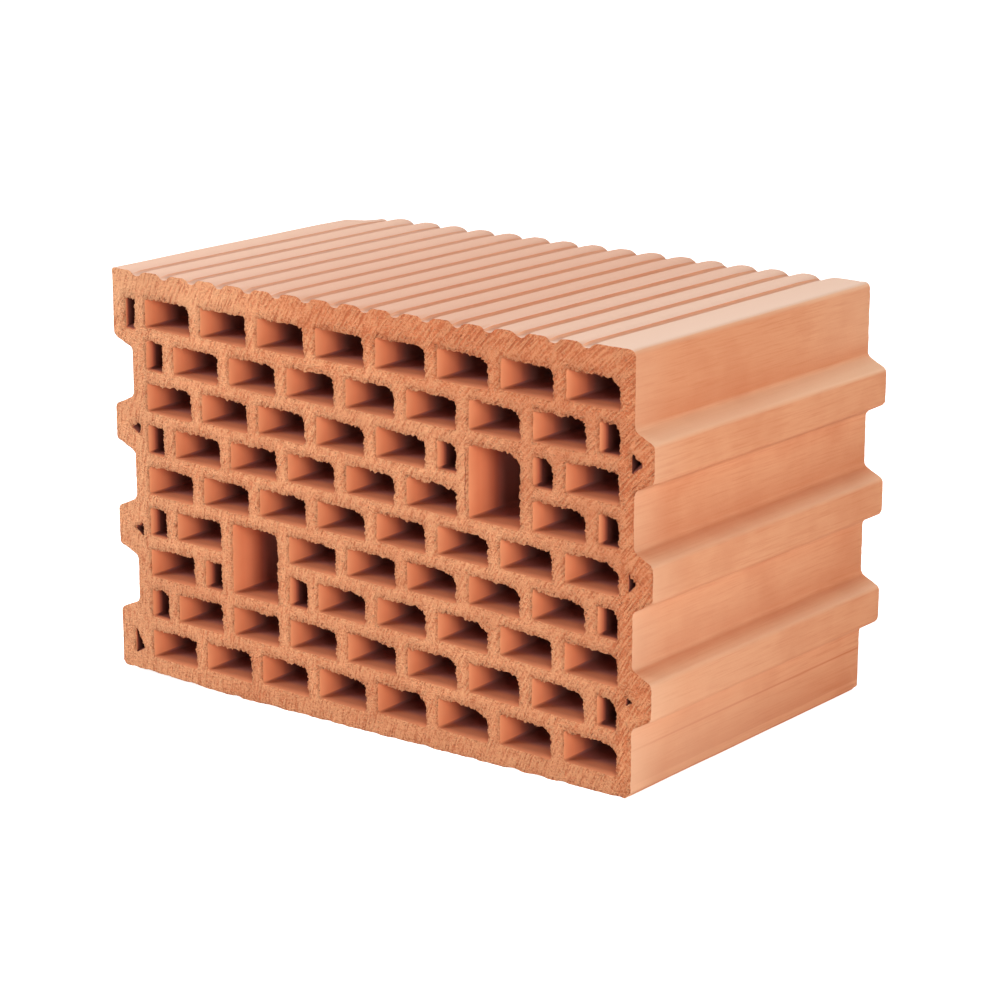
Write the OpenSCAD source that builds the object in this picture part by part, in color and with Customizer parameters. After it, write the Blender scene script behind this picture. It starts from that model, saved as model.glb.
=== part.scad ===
// Vertically perforated clay block for a 25 cm wall, with tongues and grooves on its head faces.
// The clay is pressed through a die, so one section runs through the whole block. The block
// lies on its plain long side and shows one of its two wire-cut faces to the front. X runs
// along the wall, Y along the extrusion and Z through the thickness of the wall.

/* [Block] */
// Length along the wall, from the grooved head face to the foot of the tongues
length = 380; // [300:1:450]
// Thickness of the wall, from the plain face up to the plaster face
thickness = 250; // [235:1:300]
// Height in the wall, between the two wire-cut faces
height = 238; // [100:1:300]
// Radius of the long edges and of every bend of the outline
bend_r = 4; // [1:0.5:5]

/* [Perforation] */
// Rows of holes through the thickness
rows = 9; // [5:2:11]
// Holes in the rows that start with a whole hole
columns = 8; // [5:1:9]
// Thickness of the webs between two holes of a row
web = 9.1; // [6:0.1:11]
// Thickness of the ribs between two rows
rib = 8.2; // [5:0.1:9]
// Shell between the plain face and the first row
plain_shell = 12.9; // [8:0.1:16]
// Shell between the plaster face and the last row
plaster_shell = 15.7; // [8:0.1:18]
// Shell between the head grooves and the holes
groove_shell = 11.2; // [8:0.1:16]
// Shell between the foot of the tongues and the holes
tongue_shell = 10; // [8.5:0.1:16]
// Radius in the corners of the holes
hole_r = 1.8; // [0.5:0.1:3]

/* [Grip holes] */
// Row that holds the upper half of the lower grip hole, counted from the plain face
grip_row = 4; // [2:2:4]
// Place of the lower grip hole in that row, counted from the grooved head face
grip_column = 2; // [1:1:2]

/* [Tongues and grooves] */
// Tongues on one head face, and as many grooves on the other
tongues = 3; // [1:1:3]
// Distance between the middles of two tongues
tongue_pitch = 66; // [58:1:70]
// How much lower than the middle of the block the tongues stand
tongue_drop = 1.5; // [0:0.5:4]
// How far a tongue stands out
tongue_d = 12.8; // [9:0.1:14]
// Width of a tongue at its foot
foot_w = 34; // [30:0.5:38]
// Width of a tongue at its tip
tip_w = 21; // [14:0.5:26]
// Room between the tip of a tongue and the bottom of its groove
tip_gap = 2.2; // [1:0.1:4]
// Room between a flank of a tongue and its groove
flank_gap = 3.5; // [1:0.1:4]

/* [Small hollows] */
// Height of the three-cornered hollow in each tongue and each land, at its base
core_h = 9; // [6:0.1:10]
// Depth of these hollows along the wall
core_d = 7; // [5:0.1:8]
// Wall between these hollows and the holes
core_wall = 6; // [5:0.1:8]
// Radius in the corners of these hollows
core_r = 0.7; // [0.2:0.1:1]

/* [Plaster face] */
// Keying grooves for the plaster
keys = 16; // [4:1:18]
// From the grooved head face to the middle of the first keying groove
key_start = 20; // [12:0.5:30]
// From the foot of the tongues to the middle of the last keying groove
key_end = 32; // [12:0.5:36]
// Depth of a keying groove
key_d = 3; // [1:0.1:4]
// Radius of the round bottom of a keying groove
key_r = 3; // [2:0.1:4]

/* [Hidden] */
clay = [0.87, 0.58, 0.42];
// Depth of a head groove, and the ends of the field of holes along the wall
groove_d = tongue_d + tip_gap;
field_start = groove_d + groove_shell;
field_end = length - tongue_shell;
// A hole takes the room that the shells, webs and ribs leave
hole_l = (field_end - field_start - (columns - 1) * web) / columns;
hole_w = (thickness - plain_shell - plaster_shell - (rows - 1) * rib) / rows;
column_pitch = hole_l + web;
row_pitch = hole_w + rib;
key_pitch = (length - key_start - key_end) / (keys - 1);
// Cuts reach this far past the faces that they open
past = 1;

// Underside of a row, counted from 1 at the plain face
function row_z(row) = plain_shell + (row - 1) * row_pitch;
// Left end of a hole in the rows that start with a half hole
function offset_x(column) = field_start + (column - 0.5) * column_pitch;
// Middle of a tongue, or of its groove
function tongue_z(i) = thickness / 2 - tongue_drop + (i - (tongues - 1) / 2) * tongue_pitch;

// Outline of a tongue that points to +X, grown on its flanks and at its tip for a groove
module tongue_outline(flank = 0, tip = 0) {
    foot = foot_w / 2 + flank;
    nose = tip_w / 2 + flank;
    polygon([[-past, -foot], [0, -foot], [tongue_d + tip, -nose],
             [tongue_d + tip, nose], [0, foot], [-past, foot]]);
}

// Block with its tongues and head grooves, all bends rounded
module outline() {
    offset(r = bend_r, $fn = 32) offset(r = -2 * bend_r, $fn = 32) offset(delta = bend_r)
        difference() {
            union() {
                square([length, thickness]);
                for (i = [0 : tongues - 1])
                    translate([length, tongue_z(i)]) tongue_outline();
            }
            for (i = [0 : tongues - 1])
                translate([0, tongue_z(i)]) tongue_outline(flank_gap, tip_gap);
        }
}

// One row: a long slot with webs across it, which stand half a pitch aside in every second row
module row_of_holes(row) {
    shift = row % 2 == 0 ? 0.5 : 0;
    difference() {
        translate([field_start, row_z(row)]) square([field_end - field_start, hole_w]);
        for (i = [1 : columns])
            translate([field_start + (i - shift) * column_pitch - web, row_z(row) - past])
                square([web, hole_w + 2 * past]);
    }
}

// Grip hole through two rows, with a margin to both sides for the webs beside it
module grip(lower_row, column, margin) {
    translate([offset_x(column) - margin, row_z(lower_row)])
        square([hole_l + 2 * margin, row_pitch + hole_w]);
}

// Both grip holes, which lie opposite each other through the middle of the block
module grips(margin) {
    grip(grip_row - 1, grip_column, margin);
    grip(rows + 1 - grip_row, columns - grip_column, margin);
}

// All holes of the field, with rounded corners
module holes() {
    offset(r = hole_r, $fn = 12) offset(delta = -hole_r) {
        difference() {
            for (row = [1 : rows]) row_of_holes(row);
            grips(web);
        }
        grips(0);
    }
}

// Small hollows that keep the walls even: three-cornered in the tongues and in the lands
// between the grooves, a slot and a wedge in the two end blocks beside the grooves
module cores() {
    start = field_start - core_wall;
    offset(r = core_r, $fn = 8) offset(delta = -core_r) {
        for (i = [0 : tongues - 1])
            translate([field_end + core_wall, tongue_z(i)])
                polygon([[0, -core_h / 2], [core_d, 0], [0, core_h / 2]]);
        for (i = [1 : 1 : tongues - 1])
            translate([start, tongue_z(i - 0.5)])
                polygon([[0, -core_h / 2], [0, core_h / 2], [-core_d, 0]]);
        translate([start - core_d, row_z(1)])
            polygon([[-core_d / 2, 0], [core_d / 2, hole_w / 4], [-core_d / 2, hole_w]]);
        translate([start - core_d - core_d / 2, row_z(rows)]) square([core_d, hole_w]);
    }
}

// Keying grooves across the plaster face
module keys() {
    for (i = [0 : keys - 1])
        translate([key_start + i * key_pitch, thickness - key_d + key_r]) circle(key_r, $fn = 40);
}

module clay_block() {
    color(clay)
        translate([-(length + tongue_d) / 2, height / 2, 0]) rotate([90, 0, 0])
            linear_extrude(height)
                difference() {
                    outline();
                    holes();
                    cores();
                    keys();
                }
}

clay_block();
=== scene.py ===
import math
import random

import bmesh
import bpy
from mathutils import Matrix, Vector, kdtree, noise


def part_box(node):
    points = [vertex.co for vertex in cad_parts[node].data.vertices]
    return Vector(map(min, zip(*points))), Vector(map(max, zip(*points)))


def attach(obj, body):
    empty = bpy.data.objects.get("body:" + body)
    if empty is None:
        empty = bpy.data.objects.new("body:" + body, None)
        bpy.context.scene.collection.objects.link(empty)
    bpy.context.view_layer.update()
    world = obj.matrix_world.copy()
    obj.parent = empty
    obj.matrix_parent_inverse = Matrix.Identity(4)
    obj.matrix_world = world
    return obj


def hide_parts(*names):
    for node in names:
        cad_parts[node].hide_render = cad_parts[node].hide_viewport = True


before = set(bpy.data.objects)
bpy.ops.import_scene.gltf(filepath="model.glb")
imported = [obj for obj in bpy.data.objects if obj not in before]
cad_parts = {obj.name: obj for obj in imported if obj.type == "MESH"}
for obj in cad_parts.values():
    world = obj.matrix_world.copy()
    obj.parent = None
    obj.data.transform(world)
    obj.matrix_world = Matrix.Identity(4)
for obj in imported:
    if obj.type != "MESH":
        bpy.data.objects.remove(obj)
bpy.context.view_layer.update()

# Camera. It stands to the right of the block and a little above it, and sees the wire-cut face,
# the head face with the tongues and the plaster face, as the photograph does.
camera_data = bpy.data.cameras.new("camera")
camera_data.sensor_width = 36
camera_data.lens = 112.62
camera = bpy.data.objects.new("camera", camera_data)
camera.location = (1.0984, -1.4312, 0.5948)
camera.rotation_euler = [math.radians(turn) for turn in (75.078, -0.089, 37.439)]
bpy.context.scene.collection.objects.link(camera)
bpy.context.scene.camera = camera

# Clay block. A column of wet clay leaves the die with its holes, and taut wires cut it into
# blocks. The long skins come out smooth. The wire drags grit over both cut faces and tears the
# mouths of the holes, and the block is dried and fired as it is.
MM = 0.001
TINY = 0.01 * MM
# Kinds of face, which are also the slots of their materials.
CUT, SKIN, HOLE = 0, 1, 2
low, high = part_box("clay_block")

clay = bmesh.new()
clay.from_mesh(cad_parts["clay_block"].data)
bmesh.ops.remove_doubles(clay, verts=clay.verts, dist=0.001 * MM)
bmesh.ops.dissolve_limit(clay, angle_limit=math.radians(0.5), verts=clay.verts, edges=clay.edges)
hole_number = clay.faces.layers.int.new("hole")
torn = clay.verts.layers.float.new("torn")
lit_depth = clay.verts.layers.float.new("lit_depth")


def joined_groups(faces):
    """Groups of faces that hang together: the skin of the block, and the wall of each hole."""
    left, groups = set(faces), []
    while left:
        group, open_faces = [], [left.pop()]
        while open_faces:
            face = open_faces.pop()
            group.append(face)
            for edge in face.edges:
                for other in edge.link_faces:
                    if other in left:
                        left.discard(other)
                        open_faces.append(other)
        groups.append(group)
    return groups


def extent(faces, axis):
    """Lowest and highest place of the faces along an axis."""
    places = [vert.co[axis] for face in faces for vert in face.verts]
    return min(places), max(places)


# The widest group is the skin, and the others are the walls of the holes.
walls = [face for face in clay.faces if abs(face.normal.y) < 0.5]
groups = joined_groups(walls)
groups.sort(key=lambda faces: (extent(faces, 0)[0] - extent(faces, 0)[1],
                               extent(faces, 0)[0], extent(faces, 2)[0]))
for number, group in enumerate(groups):
    for face in group:
        face[hole_number] = number
        face.material_index = HOLE if number else SKIN


def slice_faces(faces, axis, places):
    """Cuts the faces at sorted places on an axis, at the middle one first, then each half."""
    if not places or not faces:
        return list(faces)
    middle = len(places) // 2
    across = Vector([axis == i for i in range(3)])
    edges = {edge for face in faces for edge in face.edges}
    cut = bmesh.ops.bisect_plane(clay, geom=list(faces) + list(edges), dist=0.002 * MM,
                                 plane_co=across * places[middle], plane_no=across)
    near, far = [], []
    for face in cut["geom"]:
        if isinstance(face, bmesh.types.BMFace):
            side = far if face.calc_center_median()[axis] > places[middle] else near
            side.append(face)
    return (slice_faces(near, axis, places[:middle])
            + slice_faces(far, axis, places[middle + 1:]))


def wall_places(axis, step):
    """Where flat walls face along an axis, with more places between them, a step apart."""
    places = []
    for place in sorted(face.calc_center_median()[axis] for face in walls
                        if abs(face.normal[axis]) > 0.9999):
        if not places or place - places[-1] > 0.5 * MM:
            places.append(place)
    filled = []
    for start, end in zip(places, places[1:]):
        count = max(1, round((end - start) / step))
        filled += [start + (end - start) * i / count for i in range(count)]
    return filled[1:]


# The skin gets rings along its length, and the lands between the keying grooves get strips. The
# cut faces and the mouths of the holes get a fine net, for the wire to tear.
SKIN_RINGS = 9
KEY_DEPTH = 3 * MM
KEY_LEVEL = high.z - 1.1 * KEY_DEPTH
NETS = {"front": 1.3 * MM, "back": 2.8 * MM, "keys": 2.4 * MM}
FRONT_RINGS = [1 * MM, 3 * MM, 8 * MM]
BACK_RINGS = [1.5 * MM, 5 * MM]
nets = {name: [wall_places(axis, step) for axis in (0, 2)] for name, step in NETS.items()}
wall_slices = slice_faces(walls, 1, [low.y + depth for depth in FRONT_RINGS]
                          + [high.y - depth for depth in reversed(BACK_RINGS)])
skin = slice_faces([face for face in wall_slices if face.material_index == SKIN], 1,
                   [low.y + (high.y - low.y) * (i + 1) / (SKIN_RINGS + 1)
                    for i in range(SKIN_RINGS)])
slice_faces([face for face in skin if min(vert.co.z for vert in face.verts) > KEY_LEVEL],
            0, nets["keys"][0])
back = [face for face in clay.faces
        if min(vert.co.y for vert in face.verts) > high.y - BACK_RINGS[-1] - TINY]
front = [face for face in clay.faces
         if max(vert.co.y for vert in face.verts) < low.y + FRONT_RINGS[-1] + TINY]
for i, axis in enumerate((0, 2)):
    back = slice_faces(back, axis, nets["back"][i])
    front = slice_faces(front, axis, nets["front"][i])

# Where the net passes close by the lip of a keying groove, the sliver between them goes.
SLIVER = 0.15 * MM
slivers = [edge for edge in clay.edges if edge.calc_length() < SLIVER
           and min(vert.co.z for vert in edge.verts) > KEY_LEVEL]
bmesh.ops.collapse(clay, edges=slivers)

# The front rims of ceilings and right walls tear, and get more points for their teeth.
TOOTH = 0.8 * MM
for edge in list(clay.edges):
    if {face.material_index for face in edge.link_faces} == {CUT, HOLE}:
        wall = max(edge.link_faces, key=lambda face: face.material_index)
        if (min(wall.normal.x, wall.normal.z) < -0.7 and edge.verts[0].co.y < 0
                and edge.calc_length() > TOOTH):
            bmesh.utils.edge_split(edge, edge.verts[0], 0.5)

# Where every point of a wall looks, and the hole that it belongs to, before anything moves.
facing, hole_of = {}, {}
for face in clay.faces:
    if face.material_index != CUT:
        for vert in face.verts:
            facing[vert] = facing.get(vert, Vector()) + face.normal
            hole_of[vert] = face[hole_number]
for normal in facing.values():
    normal.normalize()

# How far the ceiling of each hole sags and its upper right corner closes, by its own room. Light
# reaches into it by a share of its width and of its area, less an unlit rest, in millimetres.
ROW_HEIGHT = 17 * MM
LIT_BY_WIDTH, LIT_BY_AREA, UNLIT = 0.7, 0.007, 2
random.seed(7)
bounds_of, sag_of, corner_of = {}, {}, {}
for number, group in enumerate(groups):
    verts = [vert for vert, owner in hole_of.items() if owner == number]
    left, right = min(v.co.x for v in verts), max(v.co.x for v in verts)
    bottom, ceiling = min(v.co.z for v in verts), max(v.co.z for v in verts)
    bounds_of[number] = left, right, bottom, ceiling
    # The wire came from the upper right, so holes there keep their shape least.
    rightness = ((left + right) / 2 - low.x) / (high.x - low.x)
    lowness = 1 - (bottom + ceiling) / 2 / high.z
    room = min(right - left, ceiling - bottom, ROW_HEIGHT)
    sag = room * (0.03 + 0.13 * rightness * (0.5 + 0.5 * lowness))
    sag_of[number] = sag * random.uniform(0.4, 1.4)
    corner_of[number] = room * (0.03 + 0.09 * rightness) * random.uniform(0.4, 1.5)
    for vert in verts:
        vert[lit_depth] = ((right - left) / MM
                           * (LIT_BY_WIDTH + LIT_BY_AREA * (ceiling - bottom) / MM) - UNLIT)


def ease(value):
    """Smooth step from 0 to 1."""
    value = min(1, max(0, value))
    return value * value * (3 - 2 * value)


def ripple(point, size, seed=0):
    """Noise of about -1 to 1 with lumps of a size, in the plane of the cut."""
    return noise.noise((point.x / size, point.z / size, seed + point.y / size))


# Radius of the keying grooves, how far the wear of their lips reaches over the lands, and how
# deep it is, with what it gains near the front and near the back.
KEY_RADIUS, SHOULDER = 3 * MM, 4 * MM
LIP_WEAR, FRONT_WEAR, BACK_WEAR = 0.9 * MM, 0.8 * MM, 0.4 * MM
# Where the bottoms of these grooves lie along x.
keys = sorted({round(vert.co.x, 5) for vert in facing
               if hole_of[vert] == 0 and abs(high.z - KEY_DEPTH - vert.co.z) < TINY
               and low.x + 10 * MM < vert.co.x < high.x - 20 * MM})

# How far the wire shifted the left, right, lower and upper sides of the mouths of the small
# hollows, in millimetres, by their places from the left and from below.
SHIFTS = {(19, 21): (1.6, 1.6, 0, 0), (22, 90): (0, 0, 2.4, 2.4),
          (22, 156): (-0.3, -0.8, -0.8, -2.6), (19, 226): (0.9, 0.8, -2.1, -1.3),
          (379, 58): (0, -2.6, 0.4, -2.4), (379, 124): (0.8, -1.5, -1.8, 0),
          (379, 190): (2.2, 2, -2.4, 0)}
SMALL_WIDTH, SAME_HOLLOW = 12 * MM, 8
shift_of = {}
for number, (left, right, bottom, ceiling) in bounds_of.items():
    if right - left < SMALL_WIDTH:
        middle = ((left + right) / 2 - low.x) / MM, (bottom + ceiling) / 2 / MM
        place = min(SHIFTS, key=lambda known: math.dist(known, middle))
        if math.dist(place, middle) < SAME_HOLLOW:
            shift_of[number] = SHIFTS[place]


def near_end(gap, reach):
    """1 at an end, falling smoothly to 0 at a distance from it."""
    return ease(1 - gap / reach)


# How far the wire bent the edges of the head grooves, by their heights, in millimetres.
BENDS = ((0, 0), (37, 2.8), (78, 2.5), (103, 0.9), (141, 1.9), (166, -1.9), (210, -1.2), (240, 0))


def bend_at(level):
    """Bend of the groove edges at a level, between the known ones."""
    level /= MM
    for (start, first), (end, second) in zip(BENDS, BENDS[1:]):
        if start <= level < end:
            return MM * (first + (second - first) * (level - start) / (end - start))
    return 0


# Depth of the waves of the skin. How far its upper left edge is pulled out, its far upper left
# corner sags, its near lower left corner is lifted and its lower right edge is blunted.
WAVES, PULLED, SAGGED, LIFTED, BLUNTED = 0.12 * MM, 1.5 * MM, 4 * MM, 2.8 * MM, 2.6 * MM
# How far an edge reaches over the skin, the head grooves into the block, and the bend of their
# edges back from the front.
EDGE, GROOVE_SIDE, BEND_REACH = 6 * MM, 18 * MM, 70 * MM


def skin_wear(vert):
    """How the skin settles: shallow waves, worn lips of the keys and pressed corners."""
    point, out = vert.co, facing[vert]
    move = out * (-WAVES * (1 + ripple(point, 45 * MM, 3) + ripple(point, 16 * MM, 5)))
    gap = min(abs(point.x - key) for key in keys)
    from_left, from_front, from_back = point.x - low.x, point.y - low.y, high.y - point.y
    if point.z > KEY_LEVEL and gap < KEY_RADIUS + 2 * SHOULDER:
        rise = (point.z - high.z) / KEY_DEPTH + 1
        far = 0.6 * near_end(from_back, 12 * MM)
        beside = max(0, gap - KEY_RADIUS) / SHOULDER
        if gap > KEY_RADIUS - TINY:
            wear = max(0, 1 - beside) ** 2 + far * max(0, 1 - beside / 2) ** 2
        else:
            wear = max(0, rise) * (1 + far)
        move.z -= (LIP_WEAR + FRONT_WEAR * near_end(from_front, 9 * MM)
                   + BACK_WEAR * near_end(from_back, 12 * MM)) * wear
    # The upper left edge is sharper than the die's other edges.
    if from_left < EDGE and point.z > high.z - EDGE:
        move += Vector((-1, 0, 1)) * (PULLED * max(0, -out.x) * max(0, out.z))
    move.z -= SAGGED * (near_end(from_left, 22 * MM) * near_end(from_back, 30 * MM)
                        * near_end(high.z - point.z, 40 * MM))
    move.z += LIFTED * (near_end(from_left, 110 * MM) * near_end(from_front, 60 * MM)
                        * near_end(point.z, 12 * MM))
    # The wire bent the corners of the grooves up or down, near the front.
    if from_left < GROOVE_SIDE:
        move.z += bend_at(point.z) * near_end(from_front, BEND_REACH)
    if point.z < EDGE:
        move -= out * (BLUNTED * max(0, out.x) * max(0, -out.z))
    return move


# How far the ceiling and the right wall of a mouth tear: evenly, in lumps and in teeth. How far
# its floor is pressed, at the left and more at the right, and its left wall, and how unevenly.
CEILING_TEAR, RIGHT_TEAR = (0.5, 1.1, 1.3), (0.1, 0.7, 1.1)
FLOOR_PRESS, FLOOR_PRESS_RIGHT, LEFT_PRESS, PRESS_LUMPS = 0.4, 1.6, 0.7, 0.25
LUMP_SIZE, TOOTH_SIZE, WIDE_HOLE = 4.5 * MM, 1.1 * MM, 20 * MM


def mouth_pull(vert):
    """How far the wire drags the rim of a hole or of the skin, in the plane of the cut."""
    point, out = vert.co, facing[vert]
    number = hole_of[vert]
    if number == 0:
        chips = 0.3 * abs(ripple(point, 1.9 * MM) + ripple(point, 5 * MM))
        chips += 1.6 * max(0, -out.z) * max(0, ripple(point, 9 * MM))
        return out * (-chips * MM)
    left, right, bottom, ceiling = bounds_of[number]
    width, tall = right - left, ceiling - bottom
    across, rise = (point.x - left) / width, (point.z - bottom) / tall
    lumps, teeth = ripple(point, LUMP_SIZE, number), ripple(point, TOOTH_SIZE, number)
    ceiling_tear, right_tear = (even + some * lumps + more * teeth
                                for even, some, more in (CEILING_TEAR, RIGHT_TEAR))
    floor_press = FLOOR_PRESS + FLOOR_PRESS_RIGHT * across * min(1, width / WIDE_HOLE)
    ragged = (max(0, -out.z) * ceiling_tear + max(0, -out.x) * right_tear
              - max(0, out.z) * (floor_press + PRESS_LUMPS * lumps)
              - max(0, out.x) * (LEFT_PRESS + PRESS_LUMPS * lumps)) * MM
    shift = Vector()
    if number in shift_of:
        left_shift, right_shift, low_shift, high_shift = (part * MM for part in shift_of[number])
        shift.x = left_shift + (right_shift - left_shift) * across
        shift.z = low_shift + (high_shift - low_shift) * rise
    reach = min(9 * MM, 0.6 * width, 0.7 * tall)
    along = max(0, 1 - (right - point.x) / reach)
    up = max(0, 1 - (ceiling - point.z) / reach)
    return (out * ragged + shift
            + Vector((0, 0, -sag_of[number] * max(0, across) ** 1.6 * max(0, rise) ** 2))
            + Vector((-1, 0, -1)) * (corner_of[number] * (along * up) ** 2))


# Where the field of holes starts and how long it is, and how far it lifts and is squeezed.
FIELD_START, FIELD_LENGTH = low.x + 26 * MM, 344 * MM
FIELD_LIFT, FIELD_SQUEEZE = 0.6 * MM, 1.55 * MM


def settle(point):
    """How far the soft column moves up at a place: the lower rows up, the upper ones down."""
    wide = math.sin(math.pi * min(1, max(0, (point.x - FIELD_START) / FIELD_LENGTH)))
    rise = math.pi * (point.z - low.z) / (high.z - low.z)
    return wide * (FIELD_LIFT * math.sin(rise) + FIELD_SQUEEZE * math.sin(2 * rise))


# Lean of the wire's marks at the lower middle, and how it grows with x and z in millimetres.
LEAN, LEAN_BY_X, LEAN_BY_Z = 0.27, 0.0013, 0.0005


def drag_place(point):
    """Place across the wire's marks, which bend: constant along a mark."""
    across, rise = point.x / MM, (point.z - low.z) / MM
    return across - rise * (LEAN + LEAN_BY_X * across + LEAN_BY_Z * rise)


# How far over the cut face a torn rim is felt. In millimetres: how deep the cut face lies at
# least and in the middle, the depth of its crumbs, and for both kinds of the wire's marks their
# depth, width and length.
RIM_REACH = 4.3 * MM
LEAST_DEPTH, MEAN_DEPTH, CRUMB_DEPTH = 0.02, 0.25, 0.12
FINE_MARKS, BROAD_MARKS = (0.16, 1.9, 16), (0.18, 4.5, 45)


def tear_end(end, inward, rings):
    """Tears one cut face: the mouths of its holes, the rims and the marks over the face."""
    depth_reach = rings[-1]
    rims = [vert for vert in clay.verts if abs(vert.co.y - end) < TINY and vert in facing]
    tree = kdtree.KDTree(len(rims))
    for i, vert in enumerate(rims):
        tree.insert(vert.co, i)
    tree.balance()
    pulls = [mouth_pull(vert) for vert in rims]
    tears, rounds = [], []
    for vert in rims:
        out = facing[vert]
        skin = hole_of[vert] == 0
        tears.append(0.15 + 0.4 * max(0, -out.z) if skin else max(0.12, -out.z, -0.7 * out.x))
        rounds.append(0.4 if skin else 0.45 + max(0, 0.8 * out.x, 0.3 * out.z))
    moves = {}
    for vert in clay.verts:
        depth = abs(vert.co.y - end)
        if depth > depth_reach - TINY:
            continue
        point = vert.co
        if vert in facing:
            fade = 1 - depth / depth_reach
            pull = mouth_pull(vert) * fade ** 2
            skin_move = skin_wear(vert) if hole_of[vert] == 0 else Vector()
            _, nearest, _ = tree.find((point.x, end, point.z))
            tear, rounding = tears[nearest], rounds[nearest]
        else:
            fade = 1
            _, nearest, away = tree.find(point)
            near = max(0, 1 - away / RIM_REACH)
            pull = pulls[nearest] * near ** 1.4
            rim = rims[nearest]
            skin_move = skin_wear(rim) * near if hole_of[rim] == 0 else Vector()
            tear = tears[nearest] * near
            rounding = rounds[nearest] * max(0, 1 - away / (2.2 * rounds[nearest] * MM)) ** 2
        across, along = drag_place(point), (point.z - low.z) / MM
        marks = sum(deep * noise.noise((across / wide, along / long, kind))
                    for kind, (deep, wide, long) in enumerate((FINE_MARKS, BROAD_MARKS), 1))
        crumbs = CRUMB_DEPTH * ripple(point, 1.7 * MM, 4)
        tearing = tear * (0.4 + 0.8 * ripple(point, 2.1 * MM, 9))
        sunk = max(LEAST_DEPTH, MEAN_DEPTH + marks + crumbs + max(0, tearing) + rounding) * MM
        move = pull + skin_move
        move.y = inward * sunk * fade
        moves[vert] = move
        if vert not in facing or depth < TINY:
            vert[torn] = tear
    return moves


moves = tear_end(low.y, 1, FRONT_RINGS)
moves.update(tear_end(high.y, -1, BACK_RINGS))
for vert, number in hole_of.items():
    if number == 0 and vert not in moves:
        moves[vert] = skin_wear(vert)
# Nothing swells past the size of the die.
for vert in clay.verts:
    lift = settle(vert.co)
    vert.co += moves.get(vert, Vector())
    vert.co.z = min(high.z, max(low.z, vert.co.z + lift))
    vert.co.x = min(high.x, max(low.x, vert.co.x))

# Torn rims stay sharp. The left and lower rims of the holes are pressed round.
for face in clay.faces:
    face.smooth = True
for edge in clay.edges:
    kinds = {face.material_index for face in edge.link_faces}
    if CUT in kinds and len(kinds) > 1:
        out = facing[edge.verts[0]] + facing[edge.verts[1]]
        edge.smooth = HOLE in kinds and max(out.x, out.z) > 1 and edge.verts[0].co.y < 0
    else:
        edge.smooth = edge.calc_face_angle(0) < 1

block_mesh = bpy.data.meshes.new("clay_block_fired")
clay.to_mesh(block_mesh)
clay.free()
if "custom_normal" in block_mesh.attributes:
    block_mesh.attributes.remove(block_mesh.attributes["custom_normal"])
block = bpy.data.objects.new("clay_block_fired", block_mesh)
bpy.context.scene.collection.objects.link(block)
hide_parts("clay_block")
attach(block, "root")


# Fired clay is matt and open, and its colour turns with the heat. Places are in millimetres: x
# runs from the grooves at -196 to the tongues at 196, y from the front cut face at -119 to the
# back one at 119, and z from 0 to 250.
def shader(tree, kind, inputs=None, **settings):
    """Adds a shader node, with values or links for its inputs by name or number."""
    made = tree.nodes.new("ShaderNode" + kind)
    for name, value in settings.items():
        setattr(made, name, value)
    for name, value in (inputs or {}).items():
        if isinstance(value, bpy.types.NodeSocket):
            tree.links.new(value, made.inputs[name])
        else:
            made.inputs[name].default_value = value
    return made


def math_of(tree, operation, *values):
    """Output of a Math node."""
    return shader(tree, "Math", dict(enumerate(values)), operation=operation).outputs[0]


def product(tree, first, *others):
    """Product of two or more values."""
    for other in others:
        first = math_of(tree, "MULTIPLY", first, other)
    return first


def largest(tree, first, *others):
    """Largest of two or more values."""
    for other in others:
        first = math_of(tree, "MAXIMUM", first, other)
    return first


def parts_of(tree, vector):
    """The x, y and z of a vector."""
    return shader(tree, "SeparateXYZ", {0: vector}).outputs


def way_of(tree):
    """The x, y and z of the way that the surface looks."""
    return parts_of(tree, tree.nodes.new("ShaderNodeTexCoord").outputs["Normal"])


def noise_of(tree, place, size, detail=2.0, roughness=0.5):
    """Noise of 0 to 1 with lumps of a size in millimetres."""
    return shader(tree, "TexNoise", {"Vector": place, "Scale": 1 / size, "Detail": detail,
                                     "Roughness": roughness}).outputs[0]


def span(tree, value, start, end, low_value=0.0, high_value=1.0):
    """Maps a range to another one, clamped."""
    return shader(tree, "MapRange", {0: value, 1: start, 2: end, 3: low_value,
                                     4: high_value}).outputs[0]


def tint(tree, amount, first, second):
    """Mixes two colours."""
    made = shader(tree, "Mix", {0: amount}, data_type="RGBA")
    for socket, colour in ((made.inputs[6], first), (made.inputs[7], second)):
        if isinstance(colour, bpy.types.NodeSocket):
            tree.links.new(colour, socket)
        else:
            socket.default_value = (*colour, 1)
    return made.outputs[2]


def effect(name, *outputs):
    """Empty node group that takes a place in millimetres and puts out named numbers."""
    group = bpy.data.node_groups.new(name, "ShaderNodeTree")
    group.interface.new_socket(name="Place", in_out="INPUT", socket_type="NodeSocketVector")
    for label in outputs:
        group.interface.new_socket(name=label, in_out="OUTPUT", socket_type="NodeSocketFloat")
    place = group.nodes.new("NodeGroupInput").outputs["Place"]
    return group, place, group.nodes.new("NodeGroupOutput").inputs


# Grain of the clay: grit, broad turns of colour, and rare specks, which the cut face sinks as
# pits.
grain, place, wanted = effect("clay_grain", "Grit", "Turns", "Specks")
grain.links.new(noise_of(grain, place, 1.5, 3, 0.6), wanted["Grit"])
grain.links.new(noise_of(grain, place, 38, 3), wanted["Turns"])
grain.links.new(span(grain, noise_of(grain, place, 1.5, 1), 0.69, 0.75), wanted["Specks"])

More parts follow.
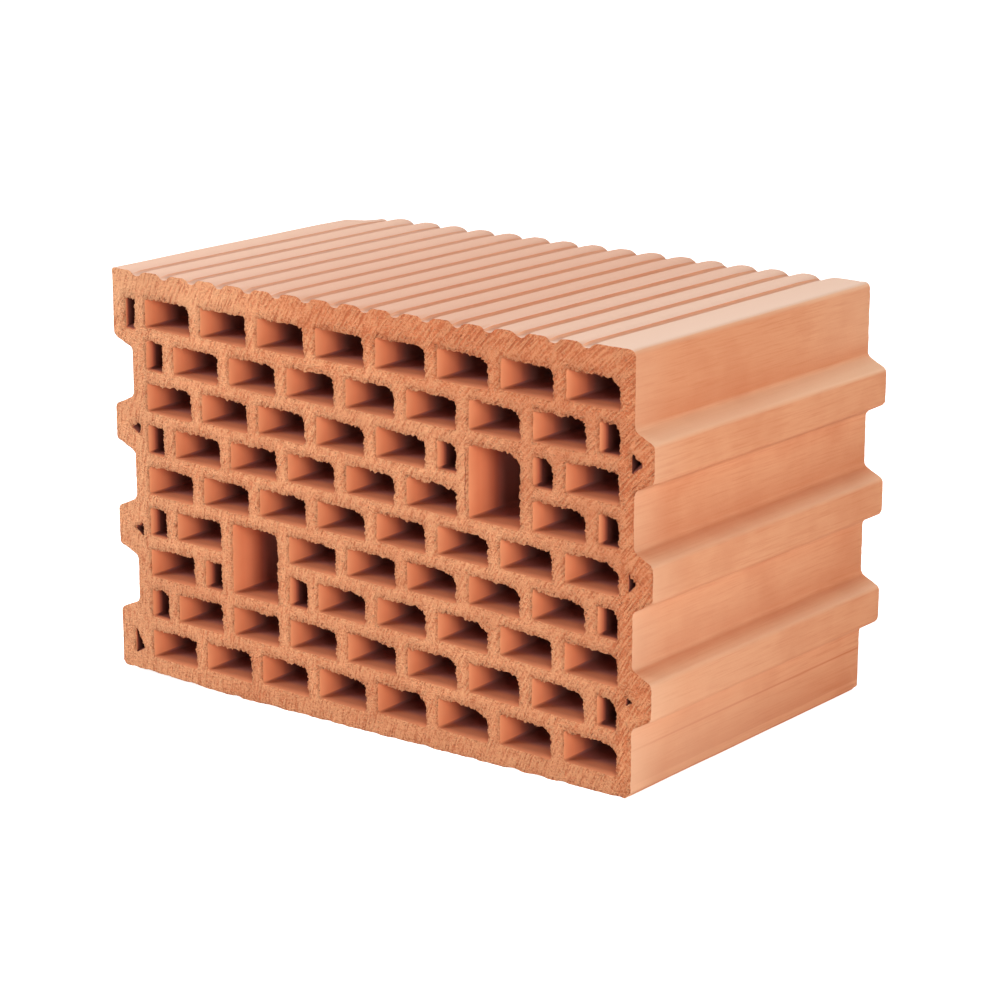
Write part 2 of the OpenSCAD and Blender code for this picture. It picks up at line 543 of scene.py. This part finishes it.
# Marks of the wire, which bend from the upper right to the lower left, as drag_place says.
drag, place, wanted = effect("wire_marks", "Marks", "Scores", "Fissures")
x_place, y_place, z_place = parts_of(drag, place)
lean = math_of(drag, "MULTIPLY_ADD", x_place, LEAN_BY_X, LEAN)
lean = math_of(drag, "MULTIPLY_ADD", z_place, LEAN_BY_Z, lean)
across = math_of(drag, "SUBTRACT", x_place, product(drag, lean, z_place))
for label, wide, long, limits in (("Marks", 1.3, 10, None), ("Scores", 1.7, 15, (0.62, 0.7)),
                                  ("Fissures", 1.7, 3.4, None)):
    stretched = shader(drag, "CombineXYZ", {0: math_of(drag, "DIVIDE", across, wide),
                                            1: math_of(drag, "DIVIDE", y_place, 40),
                                            2: math_of(drag, "DIVIDE", z_place, long)})
    value = noise_of(drag, stretched.outputs[0], 1, 3)
    drag.links.new(span(drag, value, *limits) if limits else value, wanted[label])

# Streaks that the die leaves along the skins.
streaks, place, wanted = effect("die_streaks", "Streaks")
stretched = shader(streaks, "VectorMath", {0: place, 1: (1, 0.035, 1)}, operation="MULTIPLY")
streaks.links.new(noise_of(streaks, stretched.outputs[0], 1.1, 4, 0.65), wanted["Streaks"])


def placed(tree, group, place):
    """Outputs of an effect at a place."""
    made = shader(tree, "Group", node_tree=group)
    tree.links.new(place, made.inputs["Place"])
    return made.outputs


def clay_finish(name):
    """A material with its shader and the place in millimetres, and the grain of the clay."""
    made = bpy.data.materials.new(name)
    made.use_nodes = True
    tree = made.node_tree
    tree.nodes.clear()
    surface = tree.nodes.new("ShaderNodeBsdfPrincipled")
    output = tree.nodes.new("ShaderNodeOutputMaterial")
    tree.links.new(surface.outputs[0], output.inputs["Surface"])
    place = shader(tree, "VectorMath",
                   {0: tree.nodes.new("ShaderNodeTexCoord").outputs["Object"],
                    1: (1 / MM, 1 / MM, 1 / MM)}, operation="MULTIPLY").outputs[0]
    surface.inputs["Roughness"].default_value = 0.85
    surface.inputs["Specular IOR Level"].default_value = 0.2
    return made, tree, surface, place, placed(tree, grain, place)


def bumped(tree, surface, height, depth):
    """Raises the surface by a height of 0 to 1 times a depth."""
    bump = shader(tree, "Bump", {"Height": height, "Distance": depth, "Strength": 1.0})
    tree.links.new(bump.outputs[0], surface.inputs["Normal"])


# The cut faces are torn open. The wire drags long marks over parts of the solid margins, and
# crumbles the thin webs.
CLAY, PALE_CLAY, SANDY_CLAY = (0.78, 0.235, 0.093), (0.95, 0.41, 0.195), (0.94, 0.455, 0.235)
RED_CLAY, PIT_SHADE = (0.56, 0.13, 0.045), (0.35, 0.065, 0.025)
CUT_RELIEF = 3.9 * MM
CRACK_X = 71.7
cut_clay, tree, surface, place, grit = clay_finish("wire_cut_clay")
wire = placed(tree, drag, place)
tear = shader(tree, "Attribute", attribute_name="torn").outputs["Fac"]
x_place, _, z_place = parts_of(tree, place)
# Each solid margin: along what it is measured, where it begins and is whole, and its share.
margin = largest(tree, *(span(tree, along, begins, whole, 0, share)
                         for along, begins, whole, share in (
                             (z_place, 224, 238, 1), (x_place, 168, 178, 1),
                             (x_place, -166, -174, 0.5), (z_place, 15, 9, 0.6))))
margin = product(tree, margin, span(tree, noise_of(tree, place, 13), 0.4, 0.62, 0.15, 1))
marks = product(tree, math_of(tree, "SUBTRACT", wire["Marks"], 0.5),
                math_of(tree, "MULTIPLY_ADD", margin, 0.8, 0.75))
rough = largest(tree, span(tree, x_place, -140, -165, 0, 0.25),
                span(tree, z_place, 18, 8, 0, 0.3))
crumbs = product(tree, math_of(tree, "SUBTRACT", grit["Grit"], 0.5),
                 math_of(tree, "ADD", rough, math_of(tree, "ADD", tear, 1.1)))
fissures = span(tree, math_of(tree, "MULTIPLY_ADD", tear, 0.12, wire["Fissures"]), 0.69, 0.75)
height = math_of(tree, "MULTIPLY_ADD", marks, 0.9, crumbs)
for mask, weight in ((fissures, -0.5), (grit["Specks"], -0.4), (wire["Scores"], -0.25)):
    height = math_of(tree, "MULTIPLY_ADD", mask, weight, height)
bumped(tree, surface, height, CUT_RELIEF)
# A hair crack has opened beside the upper grip hole.
line = math_of(tree, "MULTIPLY_ADD", noise_of(tree, place, 7), 3, x_place)
off = math_of(tree, "ABSOLUTE", math_of(tree, "SUBTRACT", line, CRACK_X))
crack = product(tree, span(tree, off, 0.45, 0.15), span(tree, z_place, 144, 148),
                span(tree, z_place, 180, 174))
fissures = largest(tree, fissures, crack)
# Painted shade and highlight: the raised crumbs of the relief are paler and its hollows darker,
# over the clay's own mottle.
shade = math_of(tree, "MULTIPLY_ADD", crumbs, 0.7, marks)
colour = tint(tree, span(tree, shade, -0.08, 0.10), CLAY, PALE_CLAY)
# The clay is paler between the holes. Painted light makes the face paler to the left, and painted
# shade makes it redder to the upper right.
webs = product(tree, span(tree, z_place, 228, 195, 0.05, 0.36), span(tree, x_place, 178, 168))
top = span(tree, z_place, 215, 232)
painted_light_paler = math_of(tree, "ADD", product(tree, top, span(tree, x_place, -60, -130, 0, 0.3)),
                span(tree, x_place, -20, -190, 0, 0.6))
colour = tint(tree, largest(tree, webs, painted_light_paler), colour, SANDY_CLAY)
upper_right = math_of(tree, "MULTIPLY_ADD", z_place, 0.8,
                      math_of(tree, "SUBTRACT", x_place, 100))
painted_shade_redder = largest(tree, product(tree, top, span(tree, upper_right, 0, 90, 0, 0.3)),
                 span(tree, upper_right, 90, 180, 0, 0.3))
colour = tint(tree, painted_shade_redder, colour, RED_CLAY)
# Painted shade: the hollows of the relief are painted redder.
colour = tint(tree, span(tree, shade, -0.04, -0.22, 0, 0.65), colour, RED_CLAY)
colour = tint(tree, span(tree, grit["Turns"], 0.45, 0.7, 0, 0.2), colour, RED_CLAY)
# Painted shade: the scores, the pits of the specks, the fissures and the hair crack are painted
# dark.
scored = product(tree, wire["Scores"], span(tree, x_place, -120, -160, 0.4, 0.55))
colour = tint(tree, scored, colour, RED_CLAY)
colour = tint(tree, product(tree, grit["Specks"], 0.45), colour, PIT_SHADE)
colour = tint(tree, product(tree, fissures, 0.7), colour, PIT_SHADE)
tree.links.new(colour, surface.inputs["Base Color"])

# The skins are smooth, with the streaks of the die. A crease runs low along the tongued head, and
# dust with a painted sheen lies on the plaster face.
FLAT_SKIN, LIGHT_SKIN, DARK_SKIN = (0.72, 0.295, 0.145), (0.80, 0.39, 0.21), (0.60, 0.19, 0.08)
FLANK_SKIN = (0.88, 0.53, 0.335)
DUSTY_SHEEN_SKIN, PALE_DUST_AND_SHEEN = (0.75, 0.445, 0.32), (0.86, 0.61, 0.475)
SKIN_RELIEF = 0.4 * MM
CREASE_Z, TONGUE_TOP, TONGUE_PITCH = 28, 74, 66
skin_clay, tree, surface, place, grit = clay_finish("pressed_skin_clay")
die = placed(tree, streaks, place)
x_place, y_place, z_place = parts_of(tree, place)
rightward, _, upward = way_of(tree)
bumped(tree, surface, math_of(tree, "MULTIPLY_ADD", die["Streaks"], 0.2,
                              product(tree, grit["Grit"], 0.3)), SKIN_RELIEF)
colour = tint(tree, span(tree, die["Streaks"], 0.35, 0.65, 0, 0.45), FLAT_SKIN, LIGHT_SKIN)
colour = tint(tree, span(tree, die["Streaks"], 0.46, 0.33, 0, 0.25), colour, DARK_SKIN)
colour = tint(tree, span(tree, grit["Turns"], 0.45, 0.7, 0, 0.4), colour, DARK_SKIN)
off = math_of(tree, "ABSOLUTE", math_of(tree, "SUBTRACT", z_place, CREASE_Z))
crease = product(tree, span(tree, off, 0.9, 0.2), span(tree, rightward, 0.3, 0.9, 0, 0.6))
colour = tint(tree, crease, colour, RED_CLAY)
# Painted shade: the recesses above each tongue are darker and redder.
above = math_of(tree, "FLOORED_MODULO", math_of(tree, "SUBTRACT", z_place, TONGUE_TOP),
                TONGUE_PITCH)
painted_shade_redder = product(tree, span(tree, above, 20, 2), span(tree, upward, 0.4, 0.1, 0, 0.5))
colour = tint(tree, painted_shade_redder, colour, DARK_SKIN)
# Painted highlight: the upward flanks of the tongues are paler towards their tips, and more so
# high up and far off.
highlight_reach = math_of(tree, "ADD", span(tree, z_place, 150, 200, 0, 0.35),
                 span(tree, z_place, 236, 242, 0, 0.25))
highlight_reach = math_of(tree, "ADD", highlight_reach, span(tree, x_place, 184, 195, 0, 0.5))
beside = largest(tree, span(tree, z_place, 242, 235), span(tree, x_place, 168, 176))
painted_light_paler = product(tree, span(tree, upward, 0.2, 0.85), beside, highlight_reach,
                span(tree, y_place, -20, 119, 1, 1.6))
colour = tint(tree, painted_light_paler, colour, FLANK_SKIN)
# Painted shade: the lower flanks are darker at their feet.
shaded_foot = product(tree, span(tree, x_place, 193, 184), span(tree, z_place, 180, 150),
               span(tree, rightward, 0.05, 0.3), span(tree, upward, 0.2, 0.8, 0, 0.5))
colour = tint(tree, shaded_foot, colour, DARK_SKIN)
# The head is paler towards the front, most of all low down. Painted light makes its top paler far
# away, and painted shade makes it darker and redder near the front.
ends = product(tree, span(tree, z_place, 165, 20), span(tree, y_place, 90, -60, 0, 0.34))
ends = math_of(tree, "ADD", ends, span(tree, y_place, -85, -117, 0, 0.3))
top_band = span(tree, z_place, 206, 218)
ends = math_of(tree, "ADD", ends, product(tree, top_band, span(tree, y_place, 40, 119, 0, 0.25)))
ends = product(tree, ends, span(tree, rightward, 0.4, 0.8))
colour = tint(tree, ends, colour, FLANK_SKIN)
top_band = product(tree, top_band, span(tree, y_place, 60, 0, 0, 0.22),
                span(tree, rightward, 0.6, 0.9))
colour = tint(tree, top_band, colour, DARK_SKIN)
# Dust with a painted sheen lies on the upward faces of the plaster face, on its round edges and
# in its keying grooves, where painted light also lifts their shade, more to the left.
top_dust_and_sheen = product(tree, span(tree, z_place, 215, 240), span(tree, upward, 0.91, 0.98))
rolled = product(tree, span(tree, z_place, 240, 246), span(tree, upward, 0.7, 0.98))
keyed = product(tree, span(tree, z_place, 243, 246), span(tree, x_place, 170, 160),
                span(tree, x_place, -120, 60, 1, 0.4), span(tree, upward, -0.5, 0.8))
pale = largest(tree, span(tree, x_place, 60, 190), span(tree, x_place, -60, -190, 0, 0.4))
dust_and_sheen = tint(tree, pale, DUSTY_SHEEN_SKIN, PALE_DUST_AND_SHEEN)
colour = tint(tree, largest(tree, top_dust_and_sheen, rolled, keyed), colour, dust_and_sheen)
tree.links.new(colour, surface.inputs["Base Color"])

# Painted shade: the walls of the holes and of the small hollows darken with depth, by how far
# light reaches into each, and darkest far in. The floors are in the shade of their right walls,
# so their painted shade starts sooner.
HOLE_CLAY, SHADED_CLAY, DEEP_SHADE_CLAY = (0.77, 0.245, 0.11), (0.50, 0.12, 0.06), (0.26, 0.09, 0.07)
MOUTH_CLAY, FLOOR_SHADE_CLAY = (0.81, 0.32, 0.15), (0.34, 0.11, 0.052)
DARK_SHADE_END, NARROW_SHADE_END = (0.37, 0.17, 0.14), (0.13, 0.035, 0.025)
HOLE_RELIEF = 0.1 * MM
hole_clay, tree, surface, place, grit = clay_finish("hole_wall_clay")
bumped(tree, surface, grit["Grit"], HOLE_RELIEF)
half_length = (high.y - low.y) / 2 / MM
deep = math_of(tree, "SUBTRACT", half_length,
               math_of(tree, "ABSOLUTE", parts_of(tree, place)[1]))
colour = tint(tree, span(tree, deep, 0, 9), MOUTH_CLAY, HOLE_CLAY)
colour = tint(tree, span(tree, grit["Turns"], 0.4, 0.7, 0, 0.25), colour, RED_CLAY)
upward = way_of(tree)[2]
sooner = span(tree, upward, 0.4, 0.9, 1, 2)
lit = shader(tree, "Attribute", attribute_name="lit_depth").outputs["Fac"]
depth = math_of(tree, "DIVIDE", product(tree, deep, sooner), lit)
colour = tint(tree, span(tree, depth, 0.35, 0.8), colour, SHADED_CLAY)
shaded_floors = product(tree, span(tree, upward, 0.4, 0.9), span(tree, deep, 0, 5, 0.35, 0.9))
colour = tint(tree, shaded_floors, colour, FLOOR_SHADE_CLAY)
dark_shade = tint(tree, span(tree, lit, 10, 22), NARROW_SHADE_END, DEEP_SHADE_CLAY)
colour = tint(tree, span(tree, depth, 0.7, 1.1), colour, dark_shade)
colour = tint(tree, span(tree, deep, 26, 42), colour, DARK_SHADE_END)
tree.links.new(colour, surface.inputs["Base Color"])

for finish in (cut_clay, skin_clay, hole_clay):
    block_mesh.materials.append(finish)

# Studio. A white sweep of paper lies under the block. Soft panels light it from the right, from
# above and behind, and from the upper left in front.
floor_mesh = bpy.data.meshes.new("studio_floor")
paper = bmesh.new()
bmesh.ops.create_grid(paper, x_segments=1, y_segments=1, size=6)
paper.to_mesh(floor_mesh)
paper.free()
floor = bpy.data.objects.new("studio_floor", floor_mesh)
bpy.context.scene.collection.objects.link(floor)
white = bpy.data.materials.new("white_paper")
white.use_nodes = True
tree = white.node_tree
paper_shader = tree.nodes["Principled BSDF"]
paper_shader.inputs["Base Color"].default_value = (0.9, 0.9, 0.9, 1)
paper_shader.inputs["Roughness"].default_value = 0.9
paper_shader.inputs["Emission Color"].default_value = (1, 1, 1, 1)
seen = tree.nodes.new("ShaderNodeLightPath").outputs["Is Camera Ray"]
tree.links.new(math_of(tree, "MULTIPLY", seen, 0.85), paper_shader.inputs["Emission Strength"])
floor_mesh.materials.append(white)

world = bpy.data.worlds.new("studio")
world.use_nodes = True
tree = world.node_tree
sky = tree.nodes["Background"]
rays = tree.nodes.new("ShaderNodeLightPath").outputs
AMBIENT = 0.22
seen = largest(tree, rays["Is Camera Ray"], rays["Is Glossy Ray"], rays["Is Transmission Ray"])
tree.links.new(math_of(tree, "MAXIMUM", seen, AMBIENT), sky.inputs["Strength"])
sky.inputs["Color"].default_value = (1, 1, 1, 1)
bpy.context.scene.world = world


def soft_light(name, place, target, size, power):
    """A square panel of light that looks at a point."""
    panel = bpy.data.lights.new(name, "AREA")
    panel.size, panel.energy = size, power
    lamp = bpy.data.objects.new(name, panel)
    lamp.location = place
    lamp.rotation_euler = (Vector(target) - Vector(place)).to_track_quat("-Z", "Y").to_euler()
    bpy.context.scene.collection.objects.link(lamp)


soft_light("overhead_panel", (0.0, 0.5, 1.7), (0, 0, 0.2), 1.2, 9)
soft_light("right_panel", (2.0, -1.42, 0.72), (0, 0, 0.12), 0.8, 37)
soft_light("left_panel", (-1.3, -1.2, 1.15), (0, 0, 0.12), 0.8, 36)
bpy.context.scene.view_settings.view_transform = "Standard"
